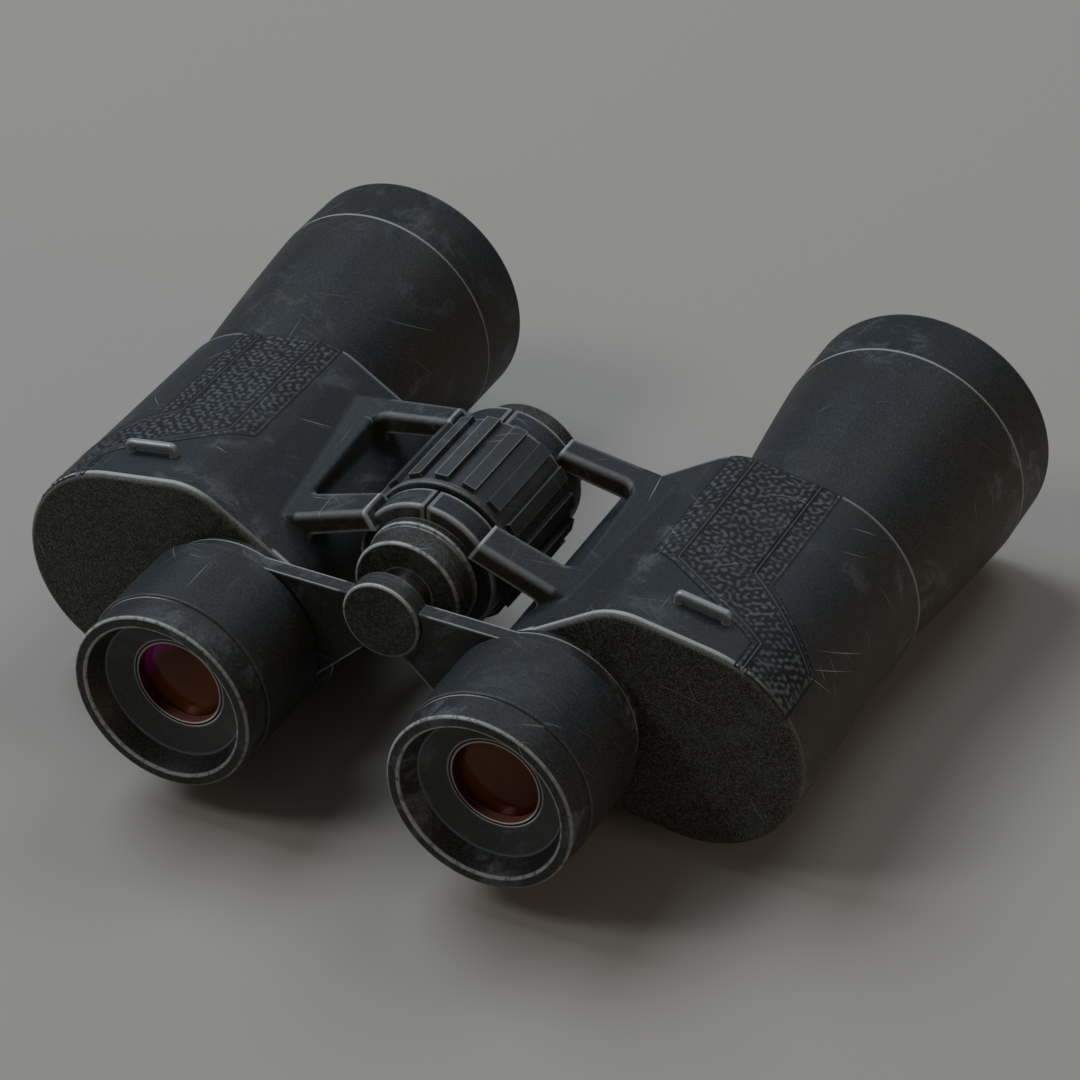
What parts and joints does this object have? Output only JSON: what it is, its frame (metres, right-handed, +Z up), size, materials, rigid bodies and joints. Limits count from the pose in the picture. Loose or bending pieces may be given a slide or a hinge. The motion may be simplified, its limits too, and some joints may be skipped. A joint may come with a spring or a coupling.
{
  "type": "binoculars",
  "caption": "Porro-prism binoculars with a folding centre hinge, ribbed focus wheel, sliding eyepieces, dioptre adjustment, flared objective barrels and a tripod socket.",
  "frame": {"origin": "middle of the box round the instrument at its widest setting, on the plane that its barrels rest on", "axes": "+X to the user's right, +Y forwards from the eyepieces to the objectives, +Z up"},
  "size_m": [0.1924, 0.1642, 0.0618],
  "materials": {
    "black_enamel": "cast aluminium under fine-grained matt black enamel, worn pale at the edges",
    "ring_enamel": "matt black enamel on turned aluminium",
    "tube_enamel": "matt black enamel on turned aluminium",
    "boss_enamel": "matt black enamel on turned aluminium",
    "matt_black": "blackened against stray light",
    "dish_black": "blackened, slightly satin",
    "bare_ring": "bare turned aluminium",
    "leatherette": "black leatherette with wormlike wrinkles",
    "eyecup_plastic": "hard black plastic, rim worn pale",
    "wheel_plastic": "black moulded plastic",
    "wheel_rubber": "black ribbed rubber",
    "lug_steel": "dull nickel-plated steel",
    "spring_steel": "ground steel",
    "amber_glass": "coated glass with an amber to magenta sheen",
    "coated_glass": "coated glass",
    "prism_glass": "polished glass"
  },
  "bodies": {
    "right_half": {"right_housing": "black_enamel", "right_rear_cover": "black_enamel", "right_guide_collar": "matt_black", "right_prism_shelf": "matt_black", "right_rear_prism": "prism_glass", "right_front_prism": "prism_glass", "right_rear_prism_clip": "spring_steel", "right_front_prism_clip": "spring_steel", "right_grip_panel": "leatherette", "right_strap_lug": "lug_steel", "right_barrel": "black_enamel", "right_front_ring": "ring_enamel", "right_objective_cell": "matt_black", "right_objective_lens": "coated_glass", "right_objective_retainer": "matt_black", "hinge_axle": "spring_steel", "rear_hinge_boss": "boss_enamel", "front_hinge_cap": "boss_enamel"},
    "left_half": {"left_housing": "black_enamel", "left_rear_cover": "black_enamel", "left_guide_collar": "matt_black", "left_prism_shelf": "matt_black", "left_rear_prism": "prism_glass", "left_front_prism": "prism_glass", "left_rear_prism_clip": "spring_steel", "left_front_prism_clip": "spring_steel", "left_grip_panel": "leatherette", "left_strap_lug": "lug_steel", "left_barrel": "black_enamel", "left_front_ring": "ring_enamel", "left_objective_cell": "matt_black", "left_objective_lens": "coated_glass", "left_objective_retainer": "matt_black"},
    "focus_wheel": {"wheel_core": "wheel_plastic", "wheel_plug": "wheel_plastic", "wheel_grip": "wheel_rubber"},
    "focus_carriage": {"focus_shaft": "spring_steel", "drive_pin": "spring_steel", "bridge_cap": "boss_enamel", "right_bridge_arm": "black_enamel", "right_eyepiece_sleeve": "matt_black"},
    "left_ocular": {"left_bridge_arm": "black_enamel", "left_eyepiece_sleeve": "matt_black", "left_eyepiece_tube": "tube_enamel", "left_eyecup": "eyecup_plastic", "left_eye_cell": "dish_black", "left_eye_ring": "bare_ring", "left_eye_lens": "amber_glass", "left_field_lens": "coated_glass"},
    "right_eye_cell_body": {"right_eye_cell": "dish_black", "right_eye_ring": "bare_ring", "right_eye_lens": "amber_glass", "right_field_lens": "coated_glass"},
    "right_dioptre": {"right_eyepiece_tube": "tube_enamel", "right_eyecup": "eyecup_plastic"}
  },
  "joints": [
    {"name": "fold", "type": "hinge", "parent": "right_half", "child": "left_half", "pos_m": [0, -0.013, 0.0435], "axis": [0, -1, 0], "range_deg": [0, 47.6]},
    {"name": "focus_turn", "type": "hinge", "parent": "right_half", "child": "focus_wheel", "pos_m": [0, -0.013, 0.0435], "axis": [0, 1, 0], "range_deg": [-36, 324]},
    {"name": "focus_travel", "type": "slide", "parent": "right_half", "child": "focus_carriage", "axis": [0, -1, 0], "range_m": [-0.0008, 0.0072]},
    {"name": "left_travel", "type": "slide", "parent": "left_half", "child": "left_ocular", "axis": [0, -1, 0], "range_m": [-0.0008, 0.0072]},
    {"name": "dioptre_travel", "type": "slide", "parent": "focus_carriage", "child": "right_eye_cell_body", "axis": [0, -1, 0], "range_m": [-0.0005, 0.0015]},
    {"name": "dioptre_turn", "type": "hinge", "parent": "right_eye_cell_body", "child": "right_dioptre", "pos_m": [0.037, -0.0687, 0.0291], "axis": [0, 1, 0], "range_deg": [-60, 180]}
  ],
  "couplings": [
    {"joint": "focus_travel", "follows": "focus_turn", "m_per_rad": 0.0012732},
    {"joint": "left_travel", "follows": "focus_turn", "m_per_rad": 0.0012732},
    {"joint": "dioptre_travel", "follows": "dioptre_turn", "m_per_rad": 0.00047746}
  ]
}
